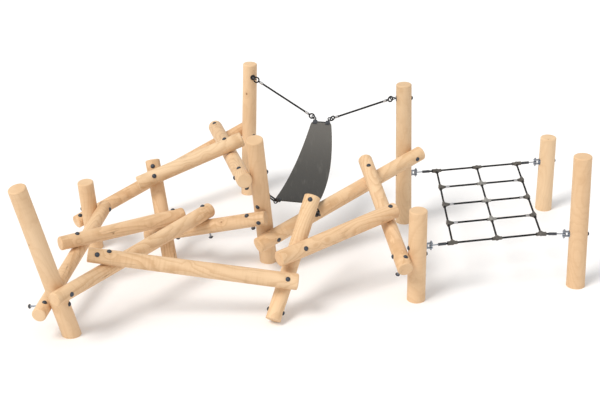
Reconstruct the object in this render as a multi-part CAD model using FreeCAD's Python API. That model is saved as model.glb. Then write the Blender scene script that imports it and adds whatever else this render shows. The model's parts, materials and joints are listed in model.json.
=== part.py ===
import FreeCAD, Part
import math
import os
from FreeCAD import Vector

# Log climbing course: leaning round logs bolted into one frame, a rope net
# strung between four posts and a rubber belt hung between two tall posts.
# Millimetres, +Z up, X to the right, Y to the back, ground at Z = 0.
# The origin is under the middle of the whole object.

# ---------------------------------------------------------------- timber
EDGE_ROUND = 12          # rounding of the sawn edge at a log's end
TOUCH_GAP = 1            # air left where two logs rest on each other
POST_BURY = 60           # a post's start below ground, before it is cut level
GROUND_BOX = 900         # side of the box that cuts it
LAYOUT_ROUNDS = 30       # passes that settle a rail on its two supports

# ---------------------------------------------------------------- fasteners
ROD_RADIUS = 8           # M16 threaded rod
ROD_HOLE_RADIUS = 9
WASHER_RADIUS = 19
WASHER_THICKNESS = 3
NUT_FLATS = 24
NUT_HEIGHT = 9
CAP_RADIUS = 19
CAP_HEIGHT = 17
CAP_BORE_RADIUS = 14.5
CAP_BORE_DEPTH = 12
CAP_SKIRT = 6            # straight wall under the cap's dome
CAP_BEVEL = 2            # inside the bore's blind end
DOME_STEPS = 6
SEAT_RADIUS = 21         # flat counterbore under each washer
SEAT_DEPTH = 7           # depth of that counterbore at the log's crown
ROD_SHOW = 1             # thread left standing out of a nut
NUT_PLAY = 0.1
DRILL_REACH = 100        # more than any log's radius

# ---------------------------------------------------------------- rope work
ROPE_RADIUS = 9
ROPE_BORE_RADIUS = 9.5   # bore of a connector moulded round a rope
NET_HEIGHT = 500
NET_CENTRE = Vector(1551, 165, NET_HEIGHT)
NET_COLUMN = 388         # cell size across the net
NET_ROW = 378            # cell size along the net
NET_SKEW = 0.22          # the net's ends run slightly askew, like its posts
NET_COLUMNS = 2
NET_ROWS = 4
HUB_RADIUS = 22          # ball in the middle of a cross fitting
KNUCKLE_RADIUS = 20      # ball in the middle of an edge or corner fitting
ARM_RADIUS = 15
SIDE_ARM_RADIUS = 13.5
ARM_REACH = 42
WEB_THICKNESS = 20       # triangular web of the edge and corner fittings
WEB_SHARE = 0.9          # how far that web runs out along each arm
BUTT_GAP = 5             # air between a rope's cut end and a passing rope
BORE_FLOOR = 13          # start of a side arm's bore, from the fitting's middle
BOSS_RADIUS = 18         # open boss that a tether's end sits in
BOSS_BORE_RADIUS = 14.5
BOSS_REACH = 44
BOSS_FLOOR = 28          # from the net's corner
FERRULE_RADIUS = 12.5
FERRULE_LENGTH = 34
FERRULE_GAP = 8
FERRULE_CLEAR = 10

# ---------------------------------------------------------------- net forks
PLATE = 6
FORK_WIDTH = 42
FORK_GAP = 34            # between the two ears
FORK_SEAT_RADIUS = 33    # flat cut in the post behind the foot plate
FORK_SEAT_DEPTH = 5
EAR_WIDTH = 28
EAR_BEYOND_PIN = 13
PIN_OFFSET = 48          # from the post's flat to the pin
PIN_RADIUS = 6
PIN_REACH = 42           # half the pin's height
PIN_PLAY = 0.3
PIN_NUT_RADIUS = 11
PIN_NUT_HEIGHT = 10
EYE_RADIUS = 15
EYE_BORE_RADIUS = 9.5
EYE_HEIGHT = 12
STEM_RADIUS = 5          # steel stem from the eye into the sleeve
STEM_SHOW = 50           # length of stem between the eye and the sleeve
STEM_DEPTH = 16          # stem inside the sleeve
SLEEVE_LENGTH = 68
SLEEVE_RADIUS = 12.5
SLEEVE_SHELL = 0.2       # play between the sleeve and the stem
SLEEVE_CLEAR = 4         # between the stem's end and the rope's end

# ---------------------------------------------------------------- belt
BELT_LOW = Vector(-164, -30, 580)     # middle of the lower edge
BELT_TOP = Vector(75, 1078, 898)      # middle of the upper edge
BELT_LOW_WIDTH = 390
BELT_TOP_WIDTH = 190
BELT_THICKNESS = 12
BELT_SAG = 85
BELT_BULGE = 45          # outward bow of the belt's right edge
BULGE_STEPS = 8
BELT_CORNER_ROUND = 40
CORNER_STEPS = 4
CLAMP_DEPTH = 32         # steel over the belt's edge
CLAMP_BRIDGE = 10        # steel outside the belt's edge
EDGE_AIR = 3             # between the belt's edge and that steel
RING_NECK = 22           # from the clamp to its ring
CLAMP_WIDTH = 40
CLAMP_PLATE = 4
CLAMP_INSET = 34         # from the belt's side to the clamp's middle
SLOT_PLAY = 2            # the clamp's slot over the belt's thickness
NECK_RADIUS = 6          # of the bar that carries the clamp's ring
NECK_ROOT = 2            # that bar's length inside the clamp
RIVET_RADIUS = 6
RIVET_HEAD_RADIUS = 10
RIVET_HEAD_HEIGHT = 3
RIVET_DRILL = 30         # more than half the clamp's thickness
RING_RADIUS = 22         # tie rings, to the middle of the wire
RING_WIRE = 5
LOOP_RADIUS = 24         # rope loops, to the middle of the rope
LOOP_WIRE = 7
LINK_HALF_WIDTH = 18
EYEBOLT_SHANK = 14       # from the post to the ring's wire
FLANGE_RADIUS = 26
FLANGE_SEAT_RADIUS = 28
FLANGE_SEAT_DEPTH = 4

UP = Vector(0, 0, 1)
FRONT = Vector(0, -1, 0)
BACK = Vector(0, 1, 0)
LEFT = Vector(-1, 0, 0)
RIGHT = Vector(1, 0, 0)
UP_FRONT = Vector(0, -1, 1)


def unit(vector):
    """The same direction with length one."""
    copy = Vector(vector)
    copy.normalize()
    return copy


def cylinder(start, direction, length, radius):
    return Part.makeCylinder(radius, length, start, unit(direction))


def tube(start, direction, length, radius, bore):
    """A pipe: cylinder with a hole right through it."""
    axis = unit(direction)
    hole = cylinder(start - axis, axis, length + 2, bore)
    return cylinder(start, axis, length, radius).cut(hole)


def turned(points, start, direction):
    """Revolve a closed outline of (radius, height) points about an axis."""
    outline = [Vector(radius, 0, height) for radius, height in points]
    face = Part.Face(Part.makePolygon(outline + outline[:1]))
    solid = face.revolve(Vector(0, 0, 0), UP, 360)
    solid.Placement = FreeCAD.Placement(start, FreeCAD.Rotation(UP, unit(direction)))
    return solid


class Log:
    """A round log from start to end, tapering between two diameters."""

    def __init__(self, name, start, end, diameters, square_foot=False, grounded=False):
        self.name = name
        self.start = start
        self.end = end
        self.axis = unit(end - start)
        self.length = (end - start).Length
        self.diameters = diameters
        self.square_foot = square_foot
        self.grounded = grounded
        self.holes = []

    def point(self, along):
        return self.start + self.axis * along

    def radius(self, along):
        first, last = self.diameters
        share = along / self.length
        return (first + (last - first) * share) / 2

    def profile(self):
        """Outline of half the log, in the plane that is turned about Z."""
        first, last = (diameter / 2 for diameter in self.diameters)
        low = 0.0 if self.square_foot or self.grounded else EDGE_ROUND
        corner = EDGE_ROUND * (1 - math.sqrt(0.5))
        top = self.length
        edges = []
        corner_start = Vector(first, 0, low)
        if low:
            foot = Vector(first - EDGE_ROUND, 0, 0)
            middle = Vector(first - corner, 0, corner)
            edges.append(Part.LineSegment(Vector(0, 0, 0), foot).toShape())
            edges.append(Part.Arc(foot, middle, corner_start).toShape())
        else:
            edges.append(Part.LineSegment(Vector(0, 0, 0), corner_start).toShape())
        shoulder = Vector(last, 0, top - EDGE_ROUND)
        middle = Vector(last - corner, 0, top - corner)
        rim = Vector(last - EDGE_ROUND, 0, top)
        edges.append(Part.LineSegment(corner_start, shoulder).toShape())
        edges.append(Part.Arc(shoulder, middle, rim).toShape())
        edges.append(Part.LineSegment(rim, Vector(0, 0, top)).toShape())
        edges.append(Part.LineSegment(Vector(0, 0, top), Vector(0, 0, 0)).toShape())
        return Part.Face(Part.Wire(edges))

    def solid(self):
        body = self.profile().revolve(Vector(0, 0, 0), UP, 360)
        turn = FreeCAD.Rotation(UP, self.axis)
        body.Placement = FreeCAD.Placement(self.start, turn)
        if self.grounded:
            corner = Vector(self.start.x - GROUND_BOX / 2, self.start.y - GROUND_BOX / 2, -GROUND_BOX)
            body = body.cut(Part.makeBox(GROUND_BOX, GROUND_BOX, GROUND_BOX, corner))
        for hole in self.holes:
            body = body.cut(hole)
        return body


logs = {}
joints = []


def post(name, x, y, height, lean_x, lean_y, diameters):
    """A post cut level at the ground; the leans are in degrees from upright."""
    slope = Vector(math.tan(math.radians(lean_x)), math.tan(math.radians(lean_y)), 1)
    start = Vector(x, y, 0) - slope * POST_BURY
    end = Vector(x, y, 0) + slope * height
    logs[name] = Log(name, start, end, diameters, grounded=True)


def leg(name, x, y, length, rise, heading, diameters):
    """A leaning leg with a square foot whose heel just touches the ground."""
    across = math.cos(math.radians(rise))
    turn = math.radians(heading)
    axis = Vector(across * math.cos(turn), across * math.sin(turn), math.sin(math.radians(rise)))
    start = Vector(x, y, diameters[0] / 2 * across)
    logs[name] = Log(name, start, start + axis * length, diameters, square_foot=True)


def rail(name, diameters, first, second, overhangs):
    """A log resting on two others.

    first and second are (support, height along it, side); the rail touches
    each support on that side, and runs past it by the overhang.
    """
    supports = [(logs[support], along, side) for support, along, side in (first, second)]
    places = [support.point(along) for support, along, side in supports]
    for _ in range(LAYOUT_ROUNDS):
        axis = unit(places[1] - places[0])
        length = (places[1] - places[0]).Length + sum(overhangs)
        stations = [overhangs[0], length - overhangs[1]]
        for index, (support, along, side) in enumerate(supports):
            normal = unit(axis.cross(support.axis))
            if normal.dot(side) < 0:
                normal = normal * -1
            own = (diameters[0] + (diameters[1] - diameters[0]) * stations[index] / length) / 2
            places[index] = support.point(along) + normal * (own + support.radius(along) + TOUCH_GAP)
    start = places[0] - axis * overhangs[0]
    end = places[1] + axis * overhangs[1]
    made = Log(name, start, end, diameters)
    logs[name] = made
    for (support, along, side), place, station in zip(supports, places, stations):
        joints.append((made, station, support, along))


# Upright posts: x, y, height, lean to the right, lean to the back, diameters.
post("tall_post_front", -1998, -1343, 1414, -11.6, -9.0, (156, 146))
post("short_post_left", -2014, 240, 669, -3.9, -3.0, (148, 144))
post("middle_post", -413, -29, 1303, -4.4, -13.0, (156, 146))
post("belt_post_left", -643, 1431, 1359, 1.5, 0.0, (142, 134))
post("belt_post_right", 860, 779, 1392, -1.6, 0.0, (152, 142))
post("net_post_front_left", 865, -754, 844, -0.6, 0.0, (158, 154))
post("net_post_back_right", 2242, 1069, 748, -0.3, 0.0, (158, 150))
post("net_post_front_right", 2275, -503, 1225, -1.7, 0.0, (162, 156))

# Leaning legs: x, y of the foot, length, rise above level, heading.
leg("leaning_leg_back", -1298, -87, 916, 60, 111, (132, 130))
leg("leaning_leg_front", -353, -1187, 1110, 47, 64, (128, 140))

# Rails, each resting on two logs that stand before it in this list.
rail("main_beam", (138, 132), ("middle_post", 430, FRONT), ("belt_post_right", 772, FRONT), (181, 96))
rail("back_beam", (120, 120), ("short_post_left", 310, BACK), ("belt_post_left", 690, BACK), (84, 112))
rail("ground_beam", (120, 120), ("tall_post_front", 375, LEFT), ("short_post_left", 455, RIGHT), (150, 60))
rail("slide_beam", (134, 126), ("net_post_front_left", 490, LEFT), ("main_beam", 1265, UP), (174, 169))
rail("crossing_beam", (136, 132), ("middle_post", 1045, LEFT), ("back_beam", 1720, UP), (140, 105))
rail("low_rail", (126, 126), ("leaning_leg_back", 240, FRONT), ("middle_post", 655, FRONT), (130, 60))
rail("upper_rail", (130, 132), ("leaning_leg_back", 750, FRONT), ("crossing_beam", 735, UP), (160, 150))
rail("long_beam", (122, 130), ("tall_post_front", 540, FRONT), ("low_rail", 600, UP), (138, 75))
rail("stacked_rail", (120, 132), ("ground_beam", 996, UP), ("low_rail", 300, UP), (162, 90))
rail("brace_rail", (134, 136), ("leaning_leg_front", 620, FRONT), ("slide_beam", 594, UP_FRONT), (238, 60))
rail("bowed_rail", (124, 138), ("long_beam", 595, UP_FRONT), ("leaning_leg_front", 325, FRONT), (170, 92))


# ---------------------------------------------------------------- tie rods
class TieRod:
    """A threaded rod between two seats, with its washers, nuts and caps.

    A plain end has no washer; a hidden end carries its nut only.
    """

    def __init__(self, first_seat, last_seat, plain_first=False, plain_last=False, hidden_last=False):
        self.axis = unit(last_seat - first_seat)
        self.ends = [
            (first_seat, self.axis * -1, not plain_first, True),
            (last_seat, self.axis, not (plain_last or hidden_last), not hidden_last)]

    def nut_seat(self, index):
        seat, out, has_washer, has_cap = self.ends[index]
        return seat + out * (WASHER_THICKNESS if has_washer else 0)

    def rod(self):
        first = self.nut_seat(0) - self.axis * (NUT_HEIGHT + ROD_SHOW)
        last = self.nut_seat(1) + self.axis * (NUT_HEIGHT + ROD_SHOW)
        return cylinder(first, self.axis, (last - first).Length, ROD_RADIUS)

    def washers(self):
        return [
            tube(seat, out, WASHER_THICKNESS, WASHER_RADIUS, ROD_HOLE_RADIUS)
            for seat, out, has_washer, has_cap in self.ends if has_washer]

    def nuts(self):
        return [hex_nut(self.nut_seat(index), self.ends[index][1]) for index in (0, 1)]

    def caps(self):
        return [
            domed_cap(self.nut_seat(index), out)
            for index, (seat, out, has_washer, has_cap) in enumerate(self.ends) if has_cap]


def hex_nut(base, direction):
    corner = Vector(NUT_FLATS / math.sqrt(3), 0, 0)
    ring = [FreeCAD.Rotation(UP, 60 * side).multVec(corner) for side in range(7)]
    nut = Part.Face(Part.makePolygon(ring)).extrude(UP * NUT_HEIGHT)
    nut = nut.cut(cylinder(Vector(0, 0, -1), UP, NUT_HEIGHT + 2, ROD_RADIUS + NUT_PLAY))
    nut.Placement = FreeCAD.Placement(base, FreeCAD.Rotation(UP, unit(direction)))
    return nut


def domed_cap(base, direction):
    """A hollow cover over the nut: a short skirt under a shallow dome."""
    rise = CAP_HEIGHT - CAP_SKIRT
    ball = (CAP_RADIUS ** 2 + rise ** 2) / (2 * rise)
    reach = math.asin(CAP_RADIUS / ball)
    dome = []
    for step in range(1, DOME_STEPS):
        angle = reach * (1 - step / DOME_STEPS)
        dome.append((ball * math.sin(angle), CAP_HEIGHT - ball + ball * math.cos(angle)))
    outline = [(CAP_BORE_RADIUS, 0), (CAP_RADIUS, 0), (CAP_RADIUS, CAP_SKIRT)] + dome
    outline += [(0, CAP_HEIGHT), (0, CAP_BORE_DEPTH), (CAP_BORE_RADIUS - CAP_BEVEL, CAP_BORE_DEPTH)]
    outline += [(CAP_BORE_RADIUS, CAP_BORE_DEPTH - CAP_BEVEL)]
    return turned(outline, base, direction)


rods = []


def drill(log, centre, direction):
    """A rod's hole right through a log."""
    reach = unit(direction) * DRILL_REACH
    log.holes.append(cylinder(centre - reach, reach, 2 * DRILL_REACH, ROD_HOLE_RADIUS))


def counterbore(log, seat, out, radius=SEAT_RADIUS):
    log.holes.append(cylinder(seat, out, DRILL_REACH, radius))


def bolt_joint(made, station, support, along, front_tail, back_tail):
    """Bolt a rail to its support; a tail stands out bare beyond the log."""
    near = made.point(station)
    far = support.point(along)
    out = unit(near - far)
    drill(made, near, out)
    drill(support, far, out)
    front = near + out * (made.radius(station) + (front_tail or -SEAT_DEPTH))
    back = far - out * (support.radius(along) + (back_tail or -SEAT_DEPTH))
    if not front_tail:
        counterbore(made, front, out)
    if not back_tail:
        counterbore(support, back, out * -1)
    rods.append(TieRod(back, front, plain_first=back_tail > 0, plain_last=front_tail > 0))


def end_rod(name, station, facing, tail):
    """A rod through one log only, crosswise, with a bare tail behind it."""
    log = logs[name]
    centre = log.point(station)
    out = unit(facing - log.axis * facing.dot(log.axis))
    drill(log, centre, out)
    seat = centre + out * (log.radius(station) - SEAT_DEPTH)
    back = centre - out * (log.radius(station) + (tail or -SEAT_DEPTH))
    counterbore(log, seat, out)
    if not tail:
        counterbore(log, back, out * -1)
    rods.append(TieRod(back, seat, plain_first=tail > 0))


# Rods that stand out bare past the rail (first) or past its support (second).
TAILS = {
    ("ground_beam", "tall_post_front"): (70, 0),
    ("long_beam", "low_rail"): (0, 34),
    ("bowed_rail", "leaning_leg_front"): (0, 30),
}
for made, station, support, along in joints:
    front_tail, back_tail = TAILS.get((made.name, support.name), (0, 0))
    bolt_joint(made, station, support, along, front_tail, back_tail)

# Spare rods near log ends: log, distance along it, side of the cap, bare tail.
end_rod("ground_beam", 112, Vector(0.3, -0.1, 1), 0)
end_rod("back_beam", 50, Vector(-0.3, -0.6, 0.7), 0)
end_rod("bowed_rail", 78, Vector(0, -0.8, 0.6), 0)
end_rod("crossing_beam", 186, Vector(-0.3, -0.2, 1), 60)
end_rod("low_rail", 990, Vector(-0.3, -0.4, 1), 40)
end_rod("slide_beam", 88, Vector(0.3, -0.1, 1), 62)
end_rod("leaning_leg_back", 852, Vector(0, -1, 0.4), 0)
end_rod("leaning_leg_front", 1060, Vector(-0.2, -1, 0.6), 0)
end_rod("leaning_leg_front", 78, RIGHT, 0)


# ---------------------------------------------------------------- rope net
def net_node(column, row):
    """Crossing of a lengthwise rope and a crosswise rope."""
    across = (column - NET_COLUMNS / 2) * NET_COLUMN
    along = (NET_ROWS / 2 - row) * NET_ROW + across * NET_SKEW
    return NET_CENTRE + Vector(across, along, 0)


ACROSS = unit(net_node(1, 0) - net_node(0, 0))
ALONG = unit(net_node(0, 0) - net_node(0, 1))


def rope(start, end, trim_start=0, trim_end=0):
    """A straight rope between two points, shortened at its ends."""
    axis = unit(end - start)
    length = (end - start).Length - trim_start - trim_end
    return cylinder(start + axis * trim_start, axis, length, ROPE_RADIUS)


def side_rope(column):
    """A lengthwise rope; the middle one butts against the end ropes."""
    trim = 0 if column in (0, NET_COLUMNS) else ROPE_RADIUS + BUTT_GAP
    return rope(net_node(column, 0), net_node(column, NET_ROWS), trim, trim)


def cross_ropes():
    """Crosswise ropes: whole at the net's two ends, halved between."""
    pieces = []
    trim = ROPE_RADIUS + BUTT_GAP
    for row in range(NET_ROWS + 1):
        if row in (0, NET_ROWS):
            pieces.append(rope(net_node(0, row), net_node(NET_COLUMNS, row), trim, trim))
        else:
            for column in range(NET_COLUMNS):
                pieces.append(rope(net_node(column, row), net_node(column + 1, row), trim, trim))
    return pieces


def ball(centre, radius, free_side):
    """A sphere whose seam runs down a side where nothing joins it."""
    sphere = Part.makeSphere(radius)
    sphere.Placement = FreeCAD.Placement(centre, FreeCAD.Rotation(RIGHT, free_side))
    return sphere


def bored(body, centre, arm, floor):
    """Bore a fitting for a rope that enters along an arm down to a floor."""
    return body.cut(cylinder(centre + arm * floor, arm, ARM_REACH + 1 - floor, ROPE_BORE_RADIUS))


def web(centre, corners):
    """A flat level plate with these corners, measured from its centre."""
    low = centre - UP * (WEB_THICKNESS / 2)
    ring = [low + corner for corner in corners + corners[:1]]
    return Part.Face(Part.makePolygon(ring)).extrude(UP * WEB_THICKNESS)


def edge_fitting(centre, edge, inward):
    """A moulded tee: a sleeve on the edge rope, an arm and a web between."""
    base = edge * (ARM_REACH * WEB_SHARE)
    tip = inward * (ARM_REACH * WEB_SHARE)
    narrow = edge * (WEB_THICKNESS / 2)
    body = ball(centre, KNUCKLE_RADIUS, inward * -1)
    body = body.fuse(cylinder(centre - edge * ARM_REACH, edge, 2 * ARM_REACH, ARM_RADIUS))
    body = body.fuse(cylinder(centre, inward, ARM_REACH, SIDE_ARM_RADIUS))
    body = body.fuse(web(centre, [base, tip + narrow, tip - narrow, base * -1]))
    return bored(bored(body, centre, edge, -ARM_REACH - 1), centre, inward, BORE_FLOOR)


def net_tees():
    """Three-armed fittings along the net's edge."""
    tees = []
    for row in range(1, NET_ROWS):
        for column, inward in ((0, ACROSS), (NET_COLUMNS, ACROSS * -1)):
            tees.append(edge_fitting(net_node(column, row), ALONG, inward))
    for row, inward in ((0, ALONG * -1), (NET_ROWS, ALONG)):
        tees.append(edge_fitting(net_node(1, row), ACROSS, inward))
    return tees


def net_crosses():
    """Four-armed fittings with a round hub, down the middle rope."""
    crosses = []
    for row in range(1, NET_ROWS):
        centre = net_node(1, row)
        body = ball(centre, HUB_RADIUS, ACROSS + ALONG)
        body = body.fuse(cylinder(centre - ALONG * ARM_REACH, ALONG, 2 * ARM_REACH, ARM_RADIUS))
        for arm in (ACROSS, ACROSS * -1):
            body = body.fuse(cylinder(centre, arm, ARM_REACH, SIDE_ARM_RADIUS))
            body = bored(body, centre, arm, BORE_FLOOR)
        crosses.append(bored(body, centre, ALONG, -ARM_REACH - 1))
    return crosses


def net_ferrules():
    """Crimped sleeves on the cross ropes, just inside the edge fittings."""
    rings = []
    for row in range(1, NET_ROWS):
        for column, inward in ((0, ACROSS), (NET_COLUMNS, ACROSS * -1)):
            start = net_node(column, row) + inward * (ARM_REACH + FERRULE_GAP)
            rings.append(tube(start, inward, FERRULE_LENGTH, FERRULE_RADIUS, ROPE_BORE_RADIUS))
    return rings


def at_height(log, height):
    """The point on a post's axis at this height above the ground."""
    return log.point((height - log.start.z) / log.axis.z)


def block(centre, depth_axis, side_axis, depth, width, height):
    """A box whose near face is centred on a point."""
    up = depth_axis.cross(side_axis)
    corner = centre - side_axis * (width / 2) - up * (height / 2)
    far = corner + side_axis * width
    face = Part.Face(Part.makePolygon([corner, far, far + up * height, corner + up * height, corner]))
    return face.extrude(depth_axis * depth)


class Tether:
    """A net corner's tie: a fork and pin on the post and the rope between."""

    def __init__(self, name, post_name, column, row):
        self.name = name
        self.log = logs[post_name]
        self.corner = net_node(column, row)
        self.inward = [ACROSS if column == 0 else ACROSS * -1, ALONG if row else ALONG * -1]
        self.centre = at_height(self.log, NET_HEIGHT)
        self.out = unit(self.corner - self.centre)
        self.radius = self.log.radius((self.centre - self.log.start).Length)
        self.face = self.centre + self.out * (self.radius - FORK_SEAT_DEPTH)
        self.pin_centre = self.face + self.out * PIN_OFFSET
        self.tip = self.corner - self.out * (BOSS_FLOOR + BUTT_GAP)
        drill(self.log, self.centre, self.out)
        counterbore(self.log, self.face, self.out, FORK_SEAT_RADIUS)
        far = self.centre - self.out * (self.radius - SEAT_DEPTH)
        counterbore(self.log, far, self.out * -1)
        rods.append(TieRod(far, self.face + self.out * PLATE, hidden_last=True))

    def fork(self):
        """A foot plate on the post with two ears that hold the pin."""
        side = self.out.cross(UP)
        body = block(self.face, self.out, side, PLATE, FORK_WIDTH, FORK_GAP + 2 * PLATE)
        reach = PIN_OFFSET + EAR_BEYOND_PIN
        for sign in (-1, 1):
            base = self.face + UP * (sign * (FORK_GAP + PLATE) / 2)
            body = body.fuse(block(base, self.out, side, reach, EAR_WIDTH, PLATE))
        body = body.cut(cylinder(self.pin_centre - UP * FORK_GAP, UP, 2 * FORK_GAP, PIN_RADIUS + PIN_PLAY))
        return body.cut(cylinder(self.face - self.out, self.out, PLATE + 2, ROD_HOLE_RADIUS))

    def pin(self):
        return cylinder(self.pin_centre - UP * PIN_REACH, UP, 2 * PIN_REACH, PIN_RADIUS)

    def pin_nuts(self):
        height = FORK_GAP / 2 + PLATE
        return [
            tube(
                self.pin_centre + UP * (sign * height), UP * sign,
                PIN_NUT_HEIGHT, PIN_NUT_RADIUS, PIN_RADIUS + NUT_PLAY)
            for sign in (-1, 1)]

    def eye(self):
        """An eye on the pin with a thin steel stem into the sleeve."""
        ring = tube(self.pin_centre - UP * (EYE_HEIGHT / 2), UP, EYE_HEIGHT, EYE_RADIUS, EYE_BORE_RADIUS)
        inside = (EYE_RADIUS + EYE_BORE_RADIUS) / 2
        length = EYE_RADIUS - inside + STEM_SHOW + STEM_DEPTH
        return ring.fuse(cylinder(self.pin_centre + self.out * inside, self.out, length, STEM_RADIUS))

    def sleeve_start(self):
        return self.pin_centre + self.out * (EYE_RADIUS + STEM_SHOW)

    def rope(self):
        return rope(self.sleeve_start(), self.tip, STEM_DEPTH + SLEEVE_CLEAR)

    def sleeve(self):
        """A dark sleeve that joins the steel stem to the rope."""
        start = self.sleeve_start()
        body = cylinder(start, self.out, SLEEVE_LENGTH, SLEEVE_RADIUS)
        body = body.cut(cylinder(start - self.out, self.out, SLEEVE_LENGTH, STEM_RADIUS + SLEEVE_SHELL))
        deep = STEM_DEPTH + SLEEVE_CLEAR / 2
        return body.cut(cylinder(start + self.out * deep, self.out, SLEEVE_LENGTH, ROPE_BORE_RADIUS))

    def corner_piece(self):
        """The net's corner fitting with an open boss for the tether's end."""
        toward = self.out * -1
        across, along = self.inward
        body = ball(self.corner, KNUCKLE_RADIUS, along * -1)
        body = body.fuse(cylinder(self.corner, toward, BOSS_REACH, BOSS_RADIUS))
        body = body.fuse(cylinder(self.corner, across, ARM_REACH, ARM_RADIUS))
        body = body.fuse(cylinder(self.corner, along, ARM_REACH, SIDE_ARM_RADIUS))
        reach = ARM_REACH * WEB_SHARE
        narrow = across * (WEB_THICKNESS / 2)
        corners = [toward * reach, along * reach - narrow, along * reach + narrow, across * reach]
        body = body.fuse(web(self.corner, corners))
        body = body.cut(cylinder(self.corner + toward * BOSS_FLOOR, toward, BOSS_REACH, BOSS_BORE_RADIUS))
        return bored(bored(body, self.corner, along, -1), self.corner, across, BORE_FLOOR)


tethers = [
    Tether("back_left", "belt_post_right", 0, 0),
    Tether("back_right", "net_post_back_right", NET_COLUMNS, 0),
    Tether("front_left", "net_post_front_left", 0, NET_ROWS),
    Tether("front_right", "net_post_front_right", NET_COLUMNS, NET_ROWS),
]


# ---------------------------------------------------------------- belt
BELT_LENGTH = (BELT_TOP - BELT_LOW).Length
BELT_AXIS = unit(BELT_TOP - BELT_LOW)
BELT_SIDE = unit(BELT_AXIS.cross(UP))
BELT_NORMAL = unit(BELT_SIDE.cross(BELT_AXIS))


def belt_point(along, side=0.0, lift=0.0):
    """A point on the sagging middle surface of the belt."""
    share = along / BELT_LENGTH
    drop = 4 * BELT_SAG * share * (1 - share)
    return BELT_LOW + BELT_AXIS * along + BELT_SIDE * side + BELT_NORMAL * (lift - drop)


def belt_strip(half):
    """A sagging slab of this half thickness, wider than the belt."""
    wide = BELT_LOW_WIDTH
    lower = [belt_point(share * BELT_LENGTH, -wide, -half) for share in (0, 0.5, 1)]
    upper = [belt_point(share * BELT_LENGTH, -wide, half) for share in (0, 0.5, 1)]
    outline = Part.Wire([
        Part.Arc(lower[0], lower[1], lower[2]).toShape(),
        Part.LineSegment(lower[2], upper[2]).toShape(),
        Part.Arc(upper[2], upper[1], upper[0]).toShape(),
        Part.LineSegment(upper[0], lower[0]).toShape()])
    return Part.Face(outline).extrude(BELT_SIDE * (2 * wide))


def rounded(corners, radius):
    """A closed outline whose corners are cut in short straight steps."""
    points = []
    for index, corner in enumerate(corners):
        before = unit(corners[index - 1] - corner)
        after = unit(corners[(index + 1) % len(corners)] - corner)
        for step in range(CORNER_STEPS + 1):
            share = step / CORNER_STEPS
            points.append(corner + before * (radius * (1 - share) ** 2) + after * (radius * share ** 2))
    return points + points[:1]


def belt_mat():
    """A tapered sheet with rounded corners, sagging in one long arc."""
    low = BELT_LOW_WIDTH / 2
    top = BELT_TOP_WIDTH / 2
    deep = BELT_NORMAL * -(2 * BELT_SAG)
    right = []
    for step in range(1, BULGE_STEPS):
        share = step / BULGE_STEPS
        half = low + (top - low) * share + 4 * BELT_BULGE * share * (1 - share)
        right.append(BELT_LOW + BELT_AXIS * (BELT_LENGTH * share) + BELT_SIDE * half + deep)
    plan = [BELT_LOW - BELT_SIDE * low + deep, BELT_LOW + BELT_SIDE * low + deep] + right
    plan += [BELT_TOP + BELT_SIDE * top + deep, BELT_TOP - BELT_SIDE * top + deep]
    prism = Part.Face(Part.makePolygon(rounded(plan, BELT_CORNER_ROUND))).extrude(deep * -2)
    mat = belt_strip(BELT_THICKNESS / 2).common(prism)
    for clamp in clamps:
        mat = mat.cut(clamp.rivet_hole())
    return mat


def ring(centre, first_axis, second_axis, radius, wire):
    """A round steel or rope ring lying in the plane of two directions."""
    return Part.makeTorus(radius, wire, centre, unit(first_axis.cross(second_axis)))


class Clamp:
    """A steel clamp riveted on a belt corner, with its tie ring."""

    def __init__(self, end, side, pull, ring_side):
        self.at_top = end == "top"
        edge = BELT_LENGTH if self.at_top else 0.0
        width = BELT_TOP_WIDTH if self.at_top else BELT_LOW_WIDTH
        inward = -1 if self.at_top else 1
        across = side * (width / 2 - CLAMP_INSET)
        self.edge_point = belt_point(edge, across)
        self.out = unit(belt_point(edge, across) - belt_point(edge + inward * CLAMP_DEPTH, across))
        self.normal = unit(BELT_SIDE.cross(self.out))
        self.bridge = self.edge_point + self.out * (EDGE_AIR + CLAMP_BRIDGE)
        self.root = self.bridge + self.out * RING_NECK
        self.pull = unit(pull - self.root)
        self.ring_side = self.normal if ring_side == "normal" else BELT_SIDE
        self.ring_side = unit(self.ring_side - self.pull * self.ring_side.dot(self.pull))
        self.ring_centre = self.root + self.pull * RING_RADIUS

    def body(self):
        back = self.edge_point - self.out * CLAMP_DEPTH
        thick = BELT_THICKNESS + 2 * CLAMP_PLATE + SLOT_PLAY
        length = CLAMP_DEPTH + EDGE_AIR
        body = block(back, self.out, BELT_SIDE, length + CLAMP_BRIDGE, CLAMP_WIDTH, thick)
        gap = BELT_THICKNESS + SLOT_PLAY
        slot = block(back - self.out, self.out, BELT_SIDE, length + 1, CLAMP_WIDTH + 2, gap)
        neck_start = self.bridge - self.out * NECK_ROOT
        neck = cylinder(neck_start, self.out, RING_NECK + NECK_ROOT, NECK_RADIUS)
        tie = ring(self.ring_centre, self.pull, self.ring_side, RING_RADIUS, RING_WIRE)
        return body.cut(slot).cut(self.rivet_hole()).fuse(neck).fuse(tie)

    def ring_normal(self):
        return unit(self.pull.cross(self.ring_side))

    def rivet_base(self):
        return self.edge_point - self.out * (CLAMP_DEPTH / 2)

    def rivet_hole(self):
        start = self.rivet_base() - self.normal * RIVET_DRILL
        return cylinder(start, self.normal, 2 * RIVET_DRILL, RIVET_RADIUS + PIN_PLAY)

    def rivet(self):
        half = BELT_THICKNESS / 2 + CLAMP_PLATE + SLOT_PLAY / 2
        body = cylinder(self.rivet_base() - self.normal * half, self.normal, 2 * half, RIVET_RADIUS)
        for start in (half, -half - RIVET_HEAD_HEIGHT):
            base = self.rivet_base() + self.normal * start
            body = body.fuse(cylinder(base, self.normal, RIVET_HEAD_HEIGHT, RIVET_HEAD_RADIUS))
        return body


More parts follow.
